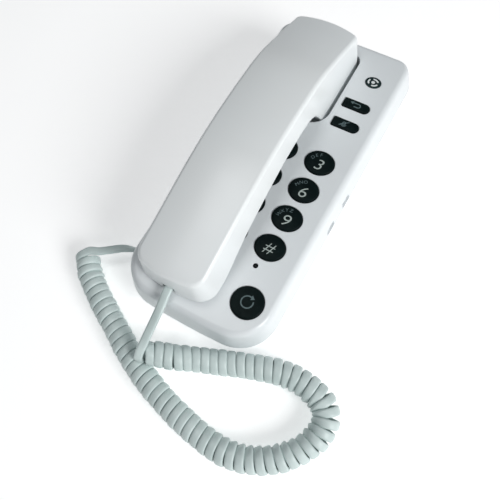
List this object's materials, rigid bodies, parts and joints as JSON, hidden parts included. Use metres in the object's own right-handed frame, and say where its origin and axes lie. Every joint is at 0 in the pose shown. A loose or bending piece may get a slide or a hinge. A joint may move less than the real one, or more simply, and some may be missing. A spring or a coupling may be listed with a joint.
{
  "type": "corded telephone",
  "caption": "Slim two-piece corded telephone: a handset resting on a flat keypad base that also hangs on a wall, joined by a curly cord.",
  "frame": {"origin": "on the table, under the middle of the base", "axes": "+Z out of the keypad face, +Y towards the ear end, +X towards the key side"},
  "size_m": [0.1824, 0.2646, 0.0654],
  "materials": {
    "white_shell": "moulded ABS, semi-gloss",
    "key_plastic": "moulded ABS with pale printed marks",
    "cord_pvc": "soft PVC, satin",
    "black_rubber": "matt",
    "silicone": "translucent matt",
    "steel": "zinc plated",
    "board_green": "solder mask on glass fibre",
    "black_plastic": "moulded",
    "capacitor_sleeve": "heat-shrink sleeve",
    "transformer_core": "taped winding",
    "clear_plastic": "clear polycarbonate",
    "lens_plastic": "dark tinted lens, unlit",
    "badge_plastic": "printed foil"
  },
  "bodies": {
    "root": {"base_lower_shell": "white_shell", "base_upper_shell": "white_shell", "rubber_feet": "black_rubber", "base_screws": "steel", "main_circuit_board": "board_green", "board_screws": "steel", "dialler_chip": "black_plastic", "capacitors": "capacitor_sleeve", "line_transformer": "transformer_core", "keypad_mat": "silicone", "sounder": "black_plastic", "hook_switch": "black_plastic", "hook_spring": "steel", "line_jack": "black_plastic", "base_cord_jack": "black_plastic", "base_cord_plug": "clear_plastic", "ringer_switch_body": "black_plastic", "dial_mode_switch_body": "black_plastic", "indicator_lens": "lens_plastic", "face_badge": "badge_plastic", "cord_base_tail": "cord_pvc", "cord_coil": "cord_pvc", "cord_handset_tail": "cord_pvc"},
    "handset": {"handset_top_shell": "white_shell", "handset_bottom_shell": "white_shell", "handset_screws": "steel", "receiver": "steel", "receiver_gasket": "black_rubber", "microphone": "steel", "microphone_boot": "black_rubber", "handset_weight": "steel", "handset_cord_jack": "black_plastic", "handset_cord_plug": "clear_plastic"},
    "hook_plunger": {"hook_plunger": "white_shell"},
    "ringer_switch_knob": {"ringer_switch_knob": "white_shell"},
    "dial_mode_switch_knob": {"dial_mode_switch_knob": "white_shell"},
    "key_1": {"key_1": "key_plastic"},
    "key_2": {"key_2": "key_plastic"},
    "key_3": {"key_3": "key_plastic"},
    "key_4": {"key_4": "key_plastic"},
    "key_5": {"key_5": "key_plastic"},
    "key_6": {"key_6": "key_plastic"},
    "key_7": {"key_7": "key_plastic"},
    "key_8": {"key_8": "key_plastic"},
    "key_9": {"key_9": "key_plastic"},
    "key_star": {"key_star": "key_plastic"},
    "key_0": {"key_0": "key_plastic"},
    "key_hash": {"key_hash": "key_plastic"},
    "key_redial": {"key_redial": "key_plastic"},
    "key_recall": {"key_recall": "key_plastic"},
    "key_mute": {"key_mute": "key_plastic"}
  },
  "joints": [
    {"name": "handset_lift", "type": "slide", "parent": "root", "child": "handset", "axis": [0, 0, 1], "range_m": [0, 0.04], "deforming": ["cord_handset_tail"]},
    {"name": "hook_plunger_rise", "type": "slide", "parent": "root", "child": "hook_plunger", "axis": [0, 0, 1], "range_m": [0, 0.004], "deforming": ["hook_spring"]},
    {"name": "ringer_switch_slide", "type": "slide", "parent": "root", "child": "ringer_switch_knob", "axis": [0, 1, 0], "range_m": [-0.0015, 0.0015]},
    {"name": "dial_mode_switch_slide", "type": "slide", "parent": "root", "child": "dial_mode_switch_knob", "axis": [0, 1, 0], "range_m": [0, 0.003]},
    {"name": "key_1_press", "type": "slide", "parent": "root", "child": "key_1", "axis": [0, 0, -1], "range_m": [0, 0.0012], "stiffness_N_per_m": 500, "springref_m": -0.0006},
    {"name": "key_2_press", "type": "slide", "parent": "root", "child": "key_2", "axis": [0, 0, -1], "range_m": [0, 0.0012], "stiffness_N_per_m": 500, "springref_m": -0.0006},
    {"name": "key_3_press", "type": "slide", "parent": "root", "child": "key_3", "axis": [0, 0, -1], "range_m": [0, 0.0012], "stiffness_N_per_m": 500, "springref_m": -0.0006},
    {"name": "key_4_press", "type": "slide", "parent": "root", "child": "key_4", "axis": [0, 0, -1], "range_m": [0, 0.0012], "stiffness_N_per_m": 500, "springref_m": -0.0006},
    {"name": "key_5_press", "type": "slide", "parent": "root", "child": "key_5", "axis": [0, 0, -1], "range_m": [0, 0.0012], "stiffness_N_per_m": 500, "springref_m": -0.0006},
    {"name": "key_6_press", "type": "slide", "parent": "root", "child": "key_6", "axis": [0, 0, -1], "range_m": [0, 0.0012], "stiffness_N_per_m": 500, "springref_m": -0.0006},
    {"name": "key_7_press", "type": "slide", "parent": "root", "child": "key_7", "axis": [0, 0, -1], "range_m": [0, 0.0012], "stiffness_N_per_m": 500, "springref_m": -0.0006},
    {"name": "key_8_press", "type": "slide", "parent": "root", "child": "key_8", "axis": [0, 0, -1], "range_m": [0, 0.0012], "stiffness_N_per_m": 500, "springref_m": -0.0006},
    {"name": "key_9_press", "type": "slide", "parent": "root", "child": "key_9", "axis": [0, 0, -1], "range_m": [0, 0.0012], "stiffness_N_per_m": 500, "springref_m": -0.0006},
    {"name": "key_star_press", "type": "slide", "parent": "root", "child": "key_star", "axis": [0, 0, -1], "range_m": [0, 0.0012], "stiffness_N_per_m": 500, "springref_m": -0.0006},
    {"name": "key_0_press", "type": "slide", "parent": "root", "child": "key_0", "axis": [0, 0, -1], "range_m": [0, 0.0012], "stiffness_N_per_m": 500, "springref_m": -0.0006},
    {"name": "key_hash_press", "type": "slide", "parent": "root", "child": "key_hash", "axis": [0, 0, -1], "range_m": [0, 0.0012], "stiffness_N_per_m": 500, "springref_m": -0.0006},
    {"name": "key_redial_press", "type": "slide", "parent": "root", "child": "key_redial", "axis": [0, 0, -1], "range_m": [0, 0.0012], "stiffness_N_per_m": 500, "springref_m": -0.0006},
    {"name": "key_recall_press", "type": "slide", "parent": "root", "child": "key_recall", "axis": [0, 0, -1], "range_m": [0, 0.0012], "stiffness_N_per_m": 500, "springref_m": -0.0006},
    {"name": "key_mute_press", "type": "slide", "parent": "root", "child": "key_mute", "axis": [0, 0, -1], "range_m": [0, 0.0012], "stiffness_N_per_m": 500, "springref_m": -0.0006}
  ],
  "couplings": [
    {"joint": "hook_plunger_rise", "follows": "handset_lift", "ratio": 0.1}
  ]
}
